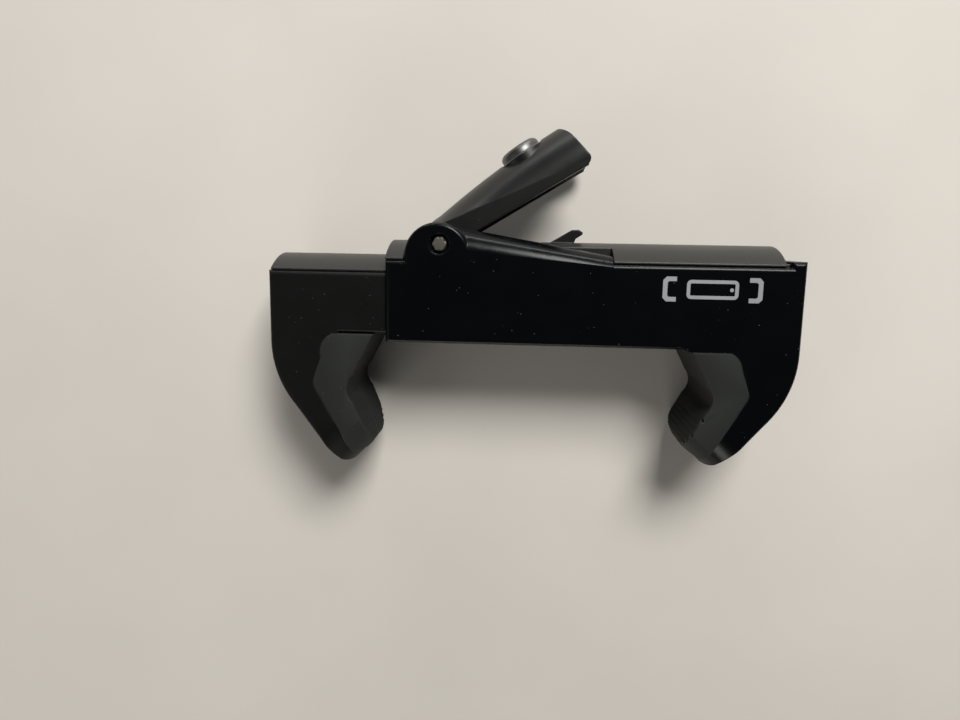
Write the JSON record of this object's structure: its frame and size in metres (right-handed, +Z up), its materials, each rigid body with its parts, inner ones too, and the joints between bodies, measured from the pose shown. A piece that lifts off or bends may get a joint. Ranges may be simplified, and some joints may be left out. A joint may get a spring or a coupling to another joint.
{
  "type": "phone clamp",
  "caption": "Spring-loaded phone clamp with padded V jaws, a telescoping sliding jaw and a folding arm that carries a tripod socket",
  "frame": {"origin": "middle of the bounding box in X and Y, on the flank that the clamp lies on", "axes": "+X along the body away from the sliding jaw, +Y from the phone side to the crowned back and the arm, +Z up through the thickness"},
  "size_m": [0.0856, 0.0566, 0.0192],
  "materials": {
    "body_black": "satin black moulded plastic",
    "cover_black": "satin black moulded plastic, soft sheen",
    "jaw_black": "matte black moulded plastic",
    "arm_black": "satin black moulded plastic",
    "pad_rubber": "grey-green soft rubber, ribbed",
    "socket_metal": "nickel-plated, turned",
    "pin_metal": "pale plated brass, splined ends",
    "steel": "plain steel",
    "steel_dark": "blackened steel",
    "spring_steel": "bright drawn wire"
  },
  "bodies": {
    "body": {"housing": "body_black", "back_cover": "cover_black", "end_screws": "steel_dark", "fixed_jaw_pad": "pad_rubber", "fixed_anchor_pin": "steel", "travel_stop_pin": "steel", "pivot_pin": "pin_metal", "pivot_washer_near": "steel", "pivot_washer_far": "steel", "catch_plate": "steel", "catch_spring": "spring_steel", "jaw_spring_near": "spring_steel", "jaw_spring_far": "spring_steel"},
    "slider": {"sliding_jaw": "jaw_black", "jaw_back": "cover_black", "jaw_back_screws": "steel_dark", "sliding_jaw_pad": "pad_rubber", "moving_anchor_pin": "steel"},
    "arm": {"mount_arm": "arm_black", "tripod_socket": "socket_metal"},
    "catch": {"arm_catch": "arm_black"}
  },
  "joints": [
    {"name": "jaw_slide", "type": "slide", "parent": "body", "child": "slider", "axis": [-1, 0, 0], "range_m": [0, 0.035], "stiffness_N_per_m": 220, "springref_m": -0.02, "deforming": ["jaw_spring_near", "jaw_spring_far"]},
    {"name": "arm_tilt", "type": "hinge", "parent": "body", "child": "arm", "pos_m": [-0.0146, 0.00942, 0.0096], "axis": [0, 0, 1], "range_deg": [-34.3, 70.7]},
    {"name": "catch_slide", "type": "slide", "parent": "body", "child": "catch", "axis": [-1, 0, 0], "range_m": [0, 0.001], "stiffness_N_per_m": 400, "springref_m": -0.001, "deforming": ["catch_spring"]}
  ]
}
